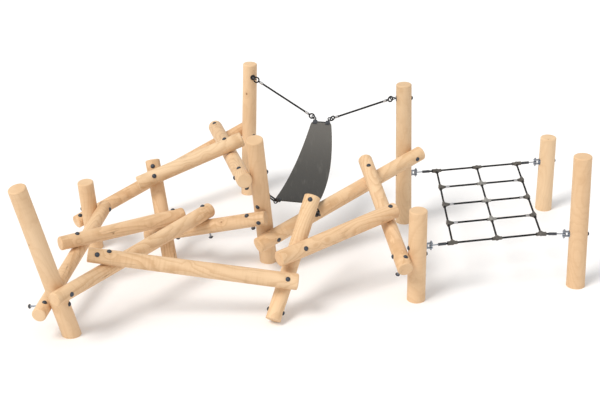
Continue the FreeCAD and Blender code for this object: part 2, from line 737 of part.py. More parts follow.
class EyeBolt(TieRod):
    """A bolt through a log whose head is the ring a belt tie hangs from."""

    def __init__(self, log, centre, facing):
        out = unit(facing - log.axis * facing.dot(log.axis))
        radius = log.radius((centre - log.start).dot(log.axis))
        self.face = centre + out * (radius - FLANGE_SEAT_DEPTH)
        far = centre - out * (radius - SEAT_DEPTH)
        super().__init__(far, self.face, hidden_last=True)
        self.ring_centre = self.face + out * (EYEBOLT_SHANK + RING_RADIUS)
        drill(log, centre, out)
        counterbore(log, self.face, out, FLANGE_SEAT_RADIUS)
        counterbore(log, far, out * -1)
        self.plane_side = None

    def aim(self, target):
        """Turn the ring about the bolt until the tie pulls in its plane."""
        pull = target - self.ring_centre
        self.plane_side = unit(pull - self.axis * pull.dot(self.axis))

    def ring_normal(self):
        return unit(self.axis.cross(self.plane_side))

    def nuts(self):
        return super().nuts()[:1]

    def bolt(self):
        start = self.nut_seat(0) - self.axis * (NUT_HEIGHT + ROD_SHOW)
        end = self.face + self.axis * (EYEBOLT_SHANK + 1)
        shank = cylinder(start, self.axis, (end - start).Length, ROD_RADIUS)
        flange = cylinder(self.face, self.axis, PLATE, FLANGE_RADIUS)
        eye = ring(self.ring_centre, self.axis, self.plane_side, RING_RADIUS, RING_WIRE)
        return shank.fuse(flange).fuse(eye)


class BeltTie:
    """One corner of the belt: clamp, tie and eye bolt."""

    def __init__(self, name, bolt, clamp):
        self.name = name
        self.bolt = bolt
        self.clamp = clamp
        bolt.aim(clamp.ring_centre)
        self.start = bolt.ring_centre
        self.end = clamp.ring_centre
        self.axis = unit(self.end - self.start)
        self.length = (self.end - self.start).Length

    def rope(self):
        """A rope with a closed loop at each end, each through its ring."""
        first = self.start + self.axis * LOOP_RADIUS
        last = self.end - self.axis * LOOP_RADIUS
        body = rope(first, last, LOOP_RADIUS, LOOP_RADIUS)
        body = body.fuse(ring(first, self.axis, self.bolt.ring_normal(), LOOP_RADIUS, LOOP_WIRE))
        return body.fuse(ring(last, self.axis, self.clamp.ring_normal(), LOOP_RADIUS, LOOP_WIRE))

    def ferrules(self):
        offset = 2 * LOOP_RADIUS + LOOP_WIRE + FERRULE_CLEAR
        start = self.start + self.axis * offset
        end = self.end - self.axis * offset
        return [
            tube(start, self.axis, FERRULE_LENGTH, FERRULE_RADIUS, ROPE_BORE_RADIUS),
            tube(end, self.axis * -1, FERRULE_LENGTH, FERRULE_RADIUS, ROPE_BORE_RADIUS)]

    def link(self):
        """One oblong link that joins the two rings of a short tie."""
        side = self.bolt.ring_normal() * LINK_HALF_WIDTH
        turn = self.axis * LINK_HALF_WIDTH
        near = self.start + turn
        far = self.end - turn
        path = Part.Wire([
            Part.Arc(near + side, self.start, near - side).toShape(),
            Part.LineSegment(near - side, far - side).toShape(),
            Part.Arc(far - side, self.end, far + side).toShape(),
            Part.LineSegment(far + side, near + side).toShape()])
        section = Part.Wire(Part.makeCircle(LOOP_WIRE, near + side, self.axis))
        return path.makePipeShell([section], True, True)


def belt_tie(name, log, centre, facing, end, side, ring_side):
    bolt = EyeBolt(log, centre, facing)
    clamp = Clamp(end, side, bolt.ring_centre, ring_side)
    return BeltTie(name, bolt, clamp)


TIE_HEIGHT_LEFT = 1240   # heights of the eye bolts on their posts
TIE_HEIGHT_RIGHT = 1255
LINK_HEIGHT = 645
LINK_STATION = 612       # of the last eye bolt, along the main beam

post_left = logs["belt_post_left"]
post_right = logs["belt_post_right"]
post_middle = logs["middle_post"]
beam = logs["main_beam"]
belt_ties = [
    belt_tie(
        "belt_rope_left", post_left, at_height(post_left, TIE_HEIGHT_LEFT),
        Vector(0.46, -0.89, 0), "top", -1, "normal"),
    belt_tie(
        "belt_rope_right", post_right, at_height(post_right, TIE_HEIGHT_RIGHT),
        LEFT, "top", 1, "normal"),
    belt_tie(
        "belt_link_left", post_middle, at_height(post_middle, LINK_HEIGHT),
        Vector(0.5, 0.86, 0), "low", -1, "normal"),
    belt_tie(
        "belt_link_right", beam, beam.point(LINK_STATION),
        Vector(0.3, -1, 0.4), "low", 1, "side"),
]
clamps = [tie.clamp for tie in belt_ties]


# ---------------------------------------------------------------- parts
def save(name, solids):
    shape = Part.makeCompound(solids) if len(solids) > 1 else solids[0]
    shape.exportStep("parts/" + name + ".step")


def main():
    os.makedirs("parts", exist_ok=True)
    for name, log in logs.items():
        save(name, [log.solid()])
    bolts = [tie.bolt for tie in belt_ties]
    save("tie_rods", [rod.rod() for rod in rods])
    save("rod_washers", [washer for rod in rods + bolts for washer in rod.washers()])
    save("rod_nuts", [nut for rod in rods + bolts for nut in rod.nuts()])
    save("rod_caps", [cap for rod in rods + bolts for cap in rod.caps()])
    save("net_rope_left", [side_rope(0)])
    save("net_rope_centre", [side_rope(1)])
    save("net_rope_right", [side_rope(NET_COLUMNS)])
    save("net_cross_ropes", cross_ropes())
    save("net_tees", net_tees())
    save("net_crosses", net_crosses())
    save("net_corner_pieces", [tether.corner_piece() for tether in tethers])
    save("net_ferrules", net_ferrules())
    save("net_forks", [tether.fork() for tether in tethers])
    save("net_fork_pins", [tether.pin() for tether in tethers])
    save("net_fork_pin_nuts", [nut for tether in tethers for nut in tether.pin_nuts()])
    for tether in tethers:
        save("tether_eye_" + tether.name, [tether.eye()])
        save("tether_rope_" + tether.name, [tether.rope()])
        save("tether_sleeve_" + tether.name, [tether.sleeve()])
    save("belt_mat", [belt_mat()])
    save("belt_clamps", [clamp.body() for clamp in clamps])
    save("belt_rivets", [clamp.rivet() for clamp in clamps])
    save("belt_eye_bolts", [bolt.bolt() for bolt in bolts])
    for tie in belt_ties[:2]:
        save(tie.name, [tie.rope()])
        save(tie.name + "_ferrules", tie.ferrules())
    for tie in belt_ties[2:]:
        save(tie.name, [tie.link()])


main()
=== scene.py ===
import json
import math

import bmesh
import bpy
import numpy as np
from mathutils import Matrix, Vector


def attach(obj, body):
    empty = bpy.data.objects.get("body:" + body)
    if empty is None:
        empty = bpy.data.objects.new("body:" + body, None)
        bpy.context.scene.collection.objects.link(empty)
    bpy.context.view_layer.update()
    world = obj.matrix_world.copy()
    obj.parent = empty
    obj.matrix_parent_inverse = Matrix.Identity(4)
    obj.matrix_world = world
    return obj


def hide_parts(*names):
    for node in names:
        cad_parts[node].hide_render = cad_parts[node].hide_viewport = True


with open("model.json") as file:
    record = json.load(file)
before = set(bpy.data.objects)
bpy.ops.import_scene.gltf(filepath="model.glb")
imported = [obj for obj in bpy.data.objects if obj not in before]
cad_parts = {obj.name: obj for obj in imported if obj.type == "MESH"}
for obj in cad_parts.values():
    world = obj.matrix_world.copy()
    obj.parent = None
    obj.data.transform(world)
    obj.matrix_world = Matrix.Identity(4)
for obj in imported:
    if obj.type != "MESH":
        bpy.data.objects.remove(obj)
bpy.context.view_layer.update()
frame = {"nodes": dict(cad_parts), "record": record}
nodes = frame["nodes"]
scene = bpy.context.scene

# Lengths are in metres, but the camera's lens and sensor are in millimetres. The camera's and
# the sun's angles are in degrees.

# Reading round bars back from the CAD meshes.
MERGE_DISTANCE = 1e-5
AXIS_PASSES = 3
SIDE_LEAN = 0.12            # the most that a side face may look along its bar
LEVEL_RISE = 1e-3           # a bar that rises less than this for each metre lies level
UPRIGHT_RISE = 0.9          # and one that rises more than this stands up

# Timber.
RING_SPACING = 0.0052
RING_RIPPLE = 0.013
PITH_WANDER = 0.075
KNOT_DENSITY = 5.2          # knot points to a metre across the log
KNOT_EDGE = (0.0065, 0.0115)        # a knot fades out between these distances
KNOT_HALO_EDGE = (0.008, 0.055)
KNOT_BEND = 0.006           # how far the rings bend at a knot
PALE_WOOD = (0.795, 0.565, 0.350)
MID_WOOD = (0.730, 0.497, 0.292)
DARK_WOOD = (0.540, 0.318, 0.155)
# Painted shade for the inside of the drying checks.
CHECK_PAINTED_SHADE = (0.22, 0.115, 0.05)
KNOT_COLOURS = [(0.3, (0.20, 0.085, 0.03)), (0.7, (0.38, 0.18, 0.07))]
FIRST_SEED = 3.0
SEED_STEP = 5.37
POST_FIGURE = 0.35          # how strongly the grain shows on a post
RAIL_FIGURE = 0.95          # and on a rail
SHADE_CHANGE = 0.05         # from log to log
SHADE_STEP = 2.4
WARMTH_CHANGE = 0.03
WARMTH_STEP = 1.7

# Belt rubber.
WEAVE_WAVES = 900           # radians along a metre
PAINTED_REFLECTION_HEIGHTS = (0.50, 0.92)       # painted reflection: the rubber is painted paler upwards between these
LOWER_RUBBER = (0.040, 0.039, 0.036)
# Painted reflection: this paler rubber colour stands in for light glancing off the belt's upper part.
REFLECTION_PAINTED_RUBBER = (0.120, 0.114, 0.104)
SCUFFED_RUBBER = (0.17, 0.165, 0.15)

# Laid rope.
STRANDS = 6
STRAND_SHARE = 0.36         # a strand's radius over the rope's
STRAND_FLATTENING = 1.35    # a strand's width over its height
CORE_SHARE = 0.95           # the core's radius over the strands' winding radius
ROPE_PITCH = 0.085          # along one whole turn of a strand
ROPE_SIDES = 8
ROPE_TURNS = [2 * math.pi * j / ROPE_SIDES for j in range(ROPE_SIDES)]
PATH_STEP = 0.007
LOOP_REACH = 0.046          # what is this near a rope's end belongs to its loop
LOOP_STEPS = 40
LOOP_LAYS = 2               # whole turns of a strand round a loop

# Bar in the belt's top hem.
HEM_RADIUS = 0.011
HEM_INSET = 0.022           # from each rivet
HEM_LIFT = 0.012            # up the belt from the line of the rivets
HEM_SIDES = 20
HEM_CAP_ROWS = 5
TIP_RADIUS = 1e-4           # keeps the last ring of a rounded end open

# Camera, floor and light.
CAMERA_PLACE = (-0.129, -11.270, 5.840)
CAMERA_TILT = 65.0
LENS = 84.0
SENSOR_WIDTH = 36.0
FLOOR_REACH = 60
SKY_STRENGTH = 0.72
SUN_STRENGTH = 2.0
SUN_SPREAD = 22
SUN_COLOUR = (1.0, 0.97, 0.93)
SUN_FROM = (-0.62, -0.50, 1.0)

# ------------------------------------------------------------------- meshes


def new_object(name, verts, faces, smooth=True):
    """A mesh object in the scene."""
    mesh = bpy.data.meshes.new(name)
    mesh.from_pydata([tuple(v) for v in verts], [], faces)
    mesh.update()
    if smooth:
        mesh.polygons.foreach_set("use_smooth", [True] * len(mesh.polygons))
    obj = bpy.data.objects.new(name, mesh)
    scene.collection.objects.link(obj)
    return obj


def islands(node):
    """Points and faces of each separate solid of a CAD node."""
    bm = bmesh.new()
    bm.from_mesh(nodes[node].data)
    bmesh.ops.remove_doubles(bm, verts=bm.verts, dist=MERGE_DISTANCE)
    bm.verts.index_update()
    bm.faces.index_update()
    seen = set()
    found = []
    for first in bm.verts:
        if first.index in seen:
            continue
        stack = [first]
        seen.add(first.index)
        group = []
        while stack:
            vert = stack.pop()
            group.append(vert)
            for edge in vert.link_edges:
                other = edge.other_vert(vert)
                if other.index not in seen:
                    seen.add(other.index)
                    stack.append(other)
        touching = {face for vert in group for face in vert.link_faces}
        faces = sorted(touching, key=lambda face: face.index)
        found.append({
            "co": np.array([tuple(vert.co) for vert in group]),
            "area": np.array([face.calc_area() for face in faces]),
            "normal": np.array([tuple(face.normal) for face in faces]),
            "centre": np.array([tuple(face.calc_center_median()) for face in faces])})
    bm.free()
    return found


def middles(node):
    """The middle of each solid of a CAD node, lowest first."""
    return sorted((Vector(part["co"].mean(0)) for part in islands(node)), key=lambda v: v.z)


def least_faced(area, normal):
    """The direction that the faces look along least, weighted by area."""
    spread = area[:, None, None] * normal[:, :, None] * normal[:, None, :]
    return np.linalg.eigh(spread.sum(0))[1][:, 0]


def round_axis(part):
    """(low end, high end, radius) of a round bar, from its side faces."""
    area, normal = part["area"], part["normal"]
    axis = least_faced(area, normal)
    for _ in range(AXIS_PASSES):
        side = np.abs(normal @ axis) < SIDE_LEAN
        axis = least_faced(area[side], normal[side])
    if axis[2] < 0 or (abs(axis[2]) < LEVEL_RISE and axis[0] + axis[1] < 0):
        axis = -axis
    helper = np.array([0.0, 0.0, 1.0]) if abs(axis[2]) < UPRIGHT_RISE else np.array([1.0, 0.0, 0.0])
    one = np.cross(axis, helper)
    one /= np.linalg.norm(one)
    two = np.cross(axis, one)
    # Each side face lies at the bar's radius from its middle line, the way the face looks.
    flat = np.stack([normal[side] @ one, normal[side] @ two], 1)
    reach = (part["centre"][side] * normal[side]).sum(1)
    table = np.concatenate([flat, np.ones((len(flat), 1))], 1)
    weight = np.sqrt(area[side])[:, None]
    solved = np.linalg.lstsq(table * weight, reach * weight[:, 0], rcond=None)[0]
    base = one * solved[0] + two * solved[1]
    along = part["co"] @ axis
    low = Vector(base + axis * along.min())
    high = Vector(base + axis * along.max())
    return low, high, float(solved[2])


# --------------------------------------------------------------- shader kit


class Graph:
    """Short helpers for building one node tree."""

    def __init__(self, tree):
        self.tree = tree

    def node(self, kind, **settings):
        made = self.tree.nodes.new(kind)
        for key, value in settings.items():
            setattr(made, key, value)
        return made

    def put(self, socket, value):
        """Link a socket, or set its value; None leaves it alone."""
        if isinstance(value, bpy.types.NodeSocket):
            self.tree.links.new(value, socket)
        elif value is not None:
            socket.default_value = value

    def math(self, operation, first, second=None):
        made = self.node("ShaderNodeMath", operation=operation)
        self.put(made.inputs[0], first)
        self.put(made.inputs[1], second)
        return made.outputs[0]

    def plus(self, first, second):
        return self.math("ADD", first, second)

    def times(self, first, second):
        return self.math("MULTIPLY", first, second)

    def centred(self, value):
        """A noise value, moved so that its middle is 0."""
        return self.math("SUBTRACT", value, 0.5)

    def total(self, *layers):
        """The sum of (value, weight) pairs."""
        parts = [self.times(value, weight) for value, weight in layers]
        summed = parts[0]
        for part in parts[1:]:
            summed = self.plus(summed, part)
        return summed

    def vector(self, operation, first, second=None):
        made = self.node("ShaderNodeVectorMath", operation=operation)
        self.put(made.inputs[0], first)
        self.put(made.inputs[1], second)
        return made.outputs["Value" if operation == "LENGTH" else "Vector"]

    def join(self, x, y, z):
        made = self.node("ShaderNodeCombineXYZ")
        for socket, value in zip(made.inputs, (x, y, z)):
            self.put(socket, value)
        return made.outputs[0]

    def split(self, vector):
        made = self.node("ShaderNodeSeparateXYZ")
        self.put(made.inputs[0], vector)
        return made.outputs

    def noise(self, vector, scale, detail, roughness=0.5):
        made = self.node("ShaderNodeTexNoise")
        self.put(made.inputs["Vector"], vector)
        made.inputs["Scale"].default_value = scale
        made.inputs["Detail"].default_value = detail
        made.inputs["Roughness"].default_value = roughness
        return made.outputs["Fac"]

    def stretched_noise(self, vector, waves, detail, roughness=0.5):
        """Noise with its own number of waves along each axis."""
        return self.noise(self.vector("MULTIPLY", vector, waves), 1.0, detail, roughness)

    def voronoi(self, vector, scale):
        """Distance to the nearest scattered point, in cells."""
        made = self.node("ShaderNodeTexVoronoi")
        self.put(made.inputs["Vector"], vector)
        made.inputs["Scale"].default_value = scale
        return made.outputs["Distance"]

    def fade(self, value, low, high, to_low=0.0, to_high=1.0):
        """A smooth step from to_low, at low, to to_high, at high."""
        made = self.node("ShaderNodeMapRange", interpolation_type="SMOOTHSTEP")
        for socket, item in zip(made.inputs, (value, low, high, to_low, to_high)):
            self.put(socket, item)
        return made.outputs[0]

    def fade_out(self, value, low, high):
        return self.fade(value, low, high, 1.0, 0.0)

    def ramp(self, value, stops):
        made = self.node("ShaderNodeValToRGB")
        self.put(made.inputs[0], value)
        elements = made.color_ramp.elements
        while len(elements) > 1:
            elements.remove(elements[-1])
        elements[0].position = stops[0][0]
        elements[0].color = (*stops[0][1], 1)
        for place, colour in stops[1:]:
            elements.new(place).color = (*colour, 1)
        return made.outputs[0]

    def blend(self, factor, first, second, mode="MIX"):
        """Mix two colours, each a socket or a plain (r, g, b)."""
        made = self.node("ShaderNodeMix", data_type="RGBA", blend_type=mode)
        self.put(made.inputs[0], factor)
        for socket, value in ((made.inputs[6], first), (made.inputs[7], second)):
            self.put(socket, (*value, 1) if isinstance(value, tuple) else value)
        return made.outputs[2]

    def bump(self, height, strength, distance):
        made = self.node("ShaderNodeBump")
        made.inputs["Strength"].default_value = strength
        made.inputs["Distance"].default_value = distance
        self.put(made.inputs["Height"], height)
        return made.outputs[0]


def material(name):
    """A new material, its graph and its shader."""
    made = bpy.data.materials.new(name)
    made.use_nodes = True
    tree = made.node_tree
    shader = tree.nodes["Principled BSDF"]
    return made, Graph(tree), shader


def object_position(graph):
    return graph.node("ShaderNodeTexCoord").outputs["Object"]


def paint(obj, mat):
    obj.data.materials.clear()
    obj.data.materials.append(mat)
    obj.data.polygons.foreach_set("material_index", [0] * len(obj.data.polygons))


# ------------------------------------------------------------------- timber


def group_sockets(tree, direction, **kinds):
    """Inputs or outputs of a node group, by name and kind."""
    for name, kind in kinds.items():
        tree.interface.new_socket(name, in_out=direction, socket_type="NodeSocket" + kind)


def timber_group():
    """Wood as a function of place in the log: rings, fibres, knots, checks."""
    tree = bpy.data.node_groups.new("timber", "ShaderNodeTree")
    group_sockets(tree, "INPUT", Place="Vector", Seed="Float", Figure="Float")
    group_sockets(tree, "OUTPUT", Colour="Color", Height="Float", Gloss="Float")
    g = Graph(tree)
    given = g.node("NodeGroupInput").outputs
    result = g.node("NodeGroupOutput").inputs
    place, seed, figure = given["Place"], given["Seed"], given["Figure"]
    x, y, _ = g.split(place)

    # Each log's wood comes from its own place in the noise.
    shifted = g.vector("ADD", place, g.join(seed, g.times(seed, 1.7), g.times(seed, 2.3)))

    # Knots sit where the surface passes near scattered points.
    knot_place = g.vector("MULTIPLY", shifted, (1.0, 1.0, 0.8))
    knot_far = g.math("DIVIDE", g.voronoi(knot_place, KNOT_DENSITY), KNOT_DENSITY)
    knot_core = g.fade_out(knot_far, *KNOT_EDGE)
    knot_halo = g.fade_out(knot_far, *KNOT_HALO_EDGE)

    # Growth rings about a wandering pith.
    along = g.times(g.split(shifted)[2], 1.1)
    wander_x = g.centred(g.noise(g.join(seed, 3.1, along), scale=1.0, detail=1.0))
    wander_y = g.centred(g.noise(g.join(7.7, seed, along), scale=1.0, detail=1.0))
    ring_x = g.plus(x, g.times(wander_x, PITH_WANDER))
    ring_y = g.plus(y, g.times(wander_y, PITH_WANDER))
    radius = g.vector("LENGTH", g.join(ring_x, ring_y, 0.0))
    ripple = g.centred(g.stretched_noise(shifted, (9, 9, 2.2), detail=3.0))
    radius = g.plus(radius, g.times(ripple, RING_RIPPLE))
    radius = g.plus(radius, g.times(knot_halo, KNOT_BEND))
    ring = g.math("FRACT", g.math("DIVIDE", radius, RING_SPACING))
    late = g.times(g.fade(ring, 0.35, 0.88), g.fade_out(ring, 0.9, 1.0))

    # Fine fibres run along the log, and broad patches are paler or deeper.
    streak = g.stretched_noise(shifted, (190, 190, 4.5), detail=4.0, roughness=0.6)
    pores = g.stretched_noise(shifted, (700, 700, 24), detail=2.0)
    cloud = g.stretched_noise(shifted, (5, 5, 1.3), detail=2.0)

    # Drying checks: a few thin, long lines, cut in by the bump; their dark colour is painted shade
    # inside the cracks.
    check_field = g.centred(g.stretched_noise(shifted, (21, 21, 0.9), detail=1.5, roughness=0.4))
    check_line = g.fade_out(g.math("ABSOLUTE", check_field), 0.0015, 0.0065)
    check_where = g.fade(g.noise(shifted, scale=3.1, detail=1.0), 0.61, 0.68)
    check = g.times(g.times(check_line, check_where), g.fade(figure, 0.3, 0.9))

    # Peeling leaves faint ridges across the grain.
    ridge = g.stretched_noise(shifted, (7, 7, 42), detail=1.0)
    ridge = g.times(g.fade(ridge, 0.46, 0.66), g.fade(cloud, 0.35, 0.6))
    ridge = g.times(ridge, figure)

    colour = g.blend(g.fade(cloud, 0.3, 0.7), PALE_WOOD, MID_WOOD)
    bands = g.times(g.times(late, figure), g.fade(cloud, 0.25, 0.65, 0.45, 1.0))
    streak_strength = g.plus(0.08, g.times(figure, 0.2))
    darkening = (
        (bands, 0.55), (g.fade(streak, 0.5, 0.78), streak_strength),
        (g.fade(pores, 0.55, 0.8), 0.10), (ridge, 0.26), (knot_halo, 0.22))
    for layer, strength in darkening:
        colour = g.blend(g.times(layer, strength), colour, DARK_WOOD)
    knot_colour = g.ramp(g.noise(shifted, scale=260, detail=2.0), KNOT_COLOURS)
    colour = g.blend(g.times(knot_core, 0.85), colour, knot_colour)
    # Painted shade: the real checks are darkened to stand in for the shade inside the cracks.
    colour = g.blend(g.times(check, 0.6), colour, CHECK_PAINTED_SHADE)
    g.put(result["Colour"], colour)

    height = g.total(
        (streak, 0.55), (late, 0.35), (pores, 0.25), (ridge, 0.45), (check, -2.2), (knot_core, -0.6))
    g.put(result["Height"], height)
    gloss = g.plus(0.50, g.times(streak, 0.2))
    g.put(result["Gloss"], g.plus(gloss, g.times(late, -0.06)))
    return tree


def timber_material(name, low, high, seed, figure, tone):
    """One log's wood, laid out along that log's own axis."""
    made, g, shader = material("wood_" + name)
    along = (high - low).normalized()
    across = along.orthogonal().normalized()
    turn = Matrix((across, along.cross(across), along))
    mapping = g.node("ShaderNodeMapping")
    g.put(mapping.inputs["Vector"], object_position(g))
    mapping.inputs["Rotation"].default_value = turn.to_euler()
    mapping.inputs["Location"].default_value = -(turn @ low)
    wood = g.node("ShaderNodeGroup", node_tree=TIMBER)
    g.put(wood.inputs["Place"], mapping.outputs[0])
    wood.inputs["Seed"].default_value = seed
    wood.inputs["Figure"].default_value = figure
    g.put(shader.inputs["Base Color"], g.blend(1.0, wood.outputs["Colour"], tone, "MULTIPLY"))
    g.put(shader.inputs["Roughness"], wood.outputs["Gloss"])
    g.put(shader.inputs["Normal"], g.bump(wood.outputs["Height"], strength=0.55, distance=0.0012))
    shader.inputs["Specular IOR Level"].default_value = 0.3
    return made


def log_tone(index):
    """A small change of shade and warmth from log to log."""
    shade = 1.0 + SHADE_CHANGE * math.sin(index * SHADE_STEP)
    warm = 1.0 + WARMTH_CHANGE * math.cos(index * WARMTH_STEP)
    return min(1.0, shade), min(1.0, shade / warm), min(1.0, shade / warm ** 2)


TIMBER = timber_group()
LOG_SLOTS = ("post_wood", "rail_wood")
LOGS = [entry["node"] for entry in frame["record"]["subparts"] if entry["material_slot"] in LOG_SLOTS]
for index, name in enumerate(sorted(LOGS)):
    part = max(islands(name), key=lambda item: len(item["co"]))
    low, high, _ = round_axis(part)
    seed = FIRST_SEED + index * SEED_STEP
    figure = POST_FIGURE if "post" in name else RAIL_FIGURE
    paint(nodes[name], timber_material(name, low, high, seed, figure, log_tone(index)))

# ----------------------------------------------------------- other surfaces


def steel_material(name, colour, roughness):
    """Metal with cloudy darker patches."""
    made, g, shader = material(name)
    place = object_position(g)
    cloud = g.noise(place, scale=55.0, detail=4.0, roughness=0.6)
    grain = g.noise(place, scale=900.0, detail=2.0)
    shader.inputs["Metallic"].default_value = 1.0
    darker = tuple(c * 0.72 for c in colour)
    g.put(shader.inputs["Base Color"], g.blend(g.fade(cloud, 0.35, 0.7), colour, darker))
    g.put(shader.inputs["Roughness"], g.plus(roughness, g.times(cloud, 0.12)))
    g.put(shader.inputs["Normal"], g.bump(g.plus(grain, cloud), strength=0.25, distance=0.0004))
    return made


def plastic_material(name, colour, roughness):
    """Grained moulding with a little dust on it."""
    made, g, shader = material(name)
    place = object_position(g)
    grain = g.noise(place, scale=1100.0, detail=3.0, roughness=0.6)
    dust = g.noise(place, scale=34.0, detail=3.0)
    lighter = tuple(min(1.0, c * 1.45 + 0.012) for c in colour)
    g.put(shader.inputs["Base Color"], g.blend(g.fade(dust, 0.42, 0.75), colour, lighter))
    g.put(shader.inputs["Roughness"], g.plus(roughness, g.times(dust, 0.15)))
    g.put(shader.inputs["Normal"], g.bump(grain, strength=0.3, distance=0.0005))
    shader.inputs["Specular IOR Level"].default_value = 0.45
    return made


def yarn_material(name, colour):
    """Rope yarn, lighter where it is worn."""
    made, g, shader = material(name)
    place = object_position(g)
    yarn = g.noise(place, scale=1500.0, detail=2.0)
    worn = g.noise(place, scale=60.0, detail=3.0)
    lighter = tuple(c * 2.0 + 0.004 for c in colour)
    tone = g.times(g.fade(yarn, 0.35, 0.7), g.fade(worn, 0.3, 0.8, 0.35, 1.0))
    g.put(shader.inputs["Base Color"], g.blend(tone, colour, lighter))
    shader.inputs["Roughness"].default_value = 0.72
    shader.inputs["Specular IOR Level"].default_value = 0.25
    g.put(shader.inputs["Normal"], g.bump(yarn, strength=0.6, distance=0.0006))
    return made


def rubber_material():
    """Belt rubber: a woven impression, scuffed, and painted paler towards its top as a painted
    reflection of the light.
    """
    made, g, shader = material("belt_rubber")
    place = object_position(g)
    x, y, z = g.split(place)
    weave_x = g.math("SINE", g.times(x, WEAVE_WAVES))
    weave_y = g.math("SINE", g.times(y, WEAVE_WAVES))
    weave = g.times(weave_x, weave_y)
    scuff = g.stretched_noise(place, (30, 5, 5), detail=5.0, roughness=0.6)
    # Painted reflection: the colour pales upwards to stand in for light glancing off the belt, not
    # for a real change in the rubber.
    colour = g.blend(g.fade(z, *PAINTED_REFLECTION_HEIGHTS), LOWER_RUBBER, REFLECTION_PAINTED_RUBBER)
    colour = g.blend(g.times(g.fade(scuff, 0.52, 0.8), 0.35), colour, SCUFFED_RUBBER)
    g.put(shader.inputs["Base Color"], colour)
    g.put(shader.inputs["Roughness"], g.plus(0.46, g.times(scuff, 0.25)))
    relief = g.plus(g.times(weave, 0.35), scuff)
    g.put(shader.inputs["Normal"], g.bump(relief, strength=0.35, distance=0.0007))
    shader.inputs["Specular IOR Level"].default_value = 0.35
    return made


ROPE = yarn_material("rope_yarn", (0.008, 0.008, 0.009))
DARK_STEEL = steel_material("coated_steel", (0.10, 0.105, 0.115), roughness=0.42)
BY_SLOT = {
    "steel": steel_material("galvanised_steel", (0.36, 0.39, 0.44), roughness=0.34),
    "ferrule": steel_material("pressed_aluminium", (0.60, 0.60, 0.61), roughness=0.34),
    "sleeve": DARK_STEEL,
    "cap_plastic": plastic_material("cap_plastic", (0.030, 0.038, 0.052), roughness=0.38),
    "connector": plastic_material("fitting_plastic", (0.082, 0.074, 0.064), roughness=0.50),
    "cross": plastic_material("cross_plastic", (0.23, 0.225, 0.21), roughness=0.48),
    "rope": ROPE,
    "belt_rubber": rubber_material()}
for entry in frame["record"]["subparts"]:
    if entry["material_slot"] in BY_SLOT:
        paint(nodes[entry["node"]], BY_SLOT[entry["material_slot"]])
for node in ("belt_clamps", "belt_rivets", "belt_eye_bolts"):
    paint(nodes[node], DARK_STEEL)

# -------------------------------------------------------------------- ropes


def path_frames(points, closed):
    """Direction, sideways direction and distance travelled at each point."""
    count = len(points)
    tangents = []
    for i in range(count):
        if closed:
            tangent = points[(i + 1) % count] - points[i - 1]
        else:
            tangent = points[min(i + 1, count - 1)] - points[max(i - 1, 0)]
        tangents.append(tangent.normalized())
    side = tangents[0].orthogonal().normalized()
    sides = [side]
    travelled = [0.0]
    for i in range(1, count):
        side = side - tangents[i] * side.dot(tangents[i])
        side.normalize()
        sides.append(side)
        travelled.append(travelled[-1] + (points[i] - points[i - 1]).length)
    return tangents, sides, travelled


def tube_faces(start, count, closed):
    """Faces of a tube of rings, with flat ends unless it is closed."""
    faces = []
    for i in range(count if closed else count - 1):
        a = start + i * ROPE_SIDES
        b = start + ((i + 1) % count) * ROPE_SIDES
        for j in range(ROPE_SIDES):
            k = (j + 1) % ROPE_SIDES
            faces.append((a + j, a + k, b + k, b + j))
    if not closed:
        last = start + (count - 1) * ROPE_SIDES
        faces.append(tuple(start + j for j in reversed(range(ROPE_SIDES))))
        faces.append(tuple(last + j for j in range(ROPE_SIDES)))
    return faces


def swept_rope(name, path, radius, closed=False, pitch=ROPE_PITCH):
    """Laid rope: strands that wind round a core along a path."""
    points = [Vector(p) for p in path]
    count = len(points)
    tangents, sides, travelled = path_frames(points, closed)
    others = [tangent.cross(side) for tangent, side in zip(tangents, sides)]
    strand_radius = radius * STRAND_SHARE
    centre_radius = radius - strand_radius
    slope = 2 * math.pi * centre_radius / pitch
    verts = []
    faces = []
    for k in range(STRANDS):
        faces += tube_faces(len(verts), count, closed)
        for i in range(count):
            angle = 2 * math.pi * (travelled[i] / pitch + k / STRANDS)
            out = sides[i] * math.cos(angle) + others[i] * math.sin(angle)
            round_way = others[i] * math.cos(angle) - sides[i] * math.sin(angle)
            run = (tangents[i] + round_way * slope).normalized()
            cross = run.cross(out).normalized()
            centre = points[i] + out * centre_radius
            for turn in ROPE_TURNS:
                height = out * (strand_radius * math.cos(turn))
                width = cross * (strand_radius * STRAND_FLATTENING * math.sin(turn))
                verts.append(centre + height + width)
    faces += tube_faces(len(verts), count, closed)
    for i in range(count):
        for turn in ROPE_TURNS:
            out = sides[i] * math.cos(turn) + others[i] * math.sin(turn)
            verts.append(points[i] + out * (centre_radius * CORE_SHARE))
    return new_object(name, verts, faces)


def straight_path(start, end):
    """Evenly spaced points from start to end."""
    count = max(2, int((end - start).length / PATH_STEP) + 1)
    return [start.lerp(end, i / (count - 1)) for i in range(count)]


def settle_rope(piece, body, node):
    """Paint a rope piece, and let it ride on a body and stand for a CAD node."""
    paint(piece, ROPE)
    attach(piece, body)
    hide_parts(node)


def straight_ropes(node, body):
    """A laid rope for each plain round bar of a CAD node."""
    for number, part in enumerate(islands(node)):
        low, high, radius = round_axis(part)
        piece = swept_rope(f"{node}_laid_{number}", straight_path(low, high), radius)
        settle_rope(piece, body, node)


def flat_normal(cloud):
    """Normal of the plane that best holds a set of points."""
    return Vector(np.linalg.eigh(np.cov((cloud - cloud.mean(0)).T))[1][:, 0]).normalized()


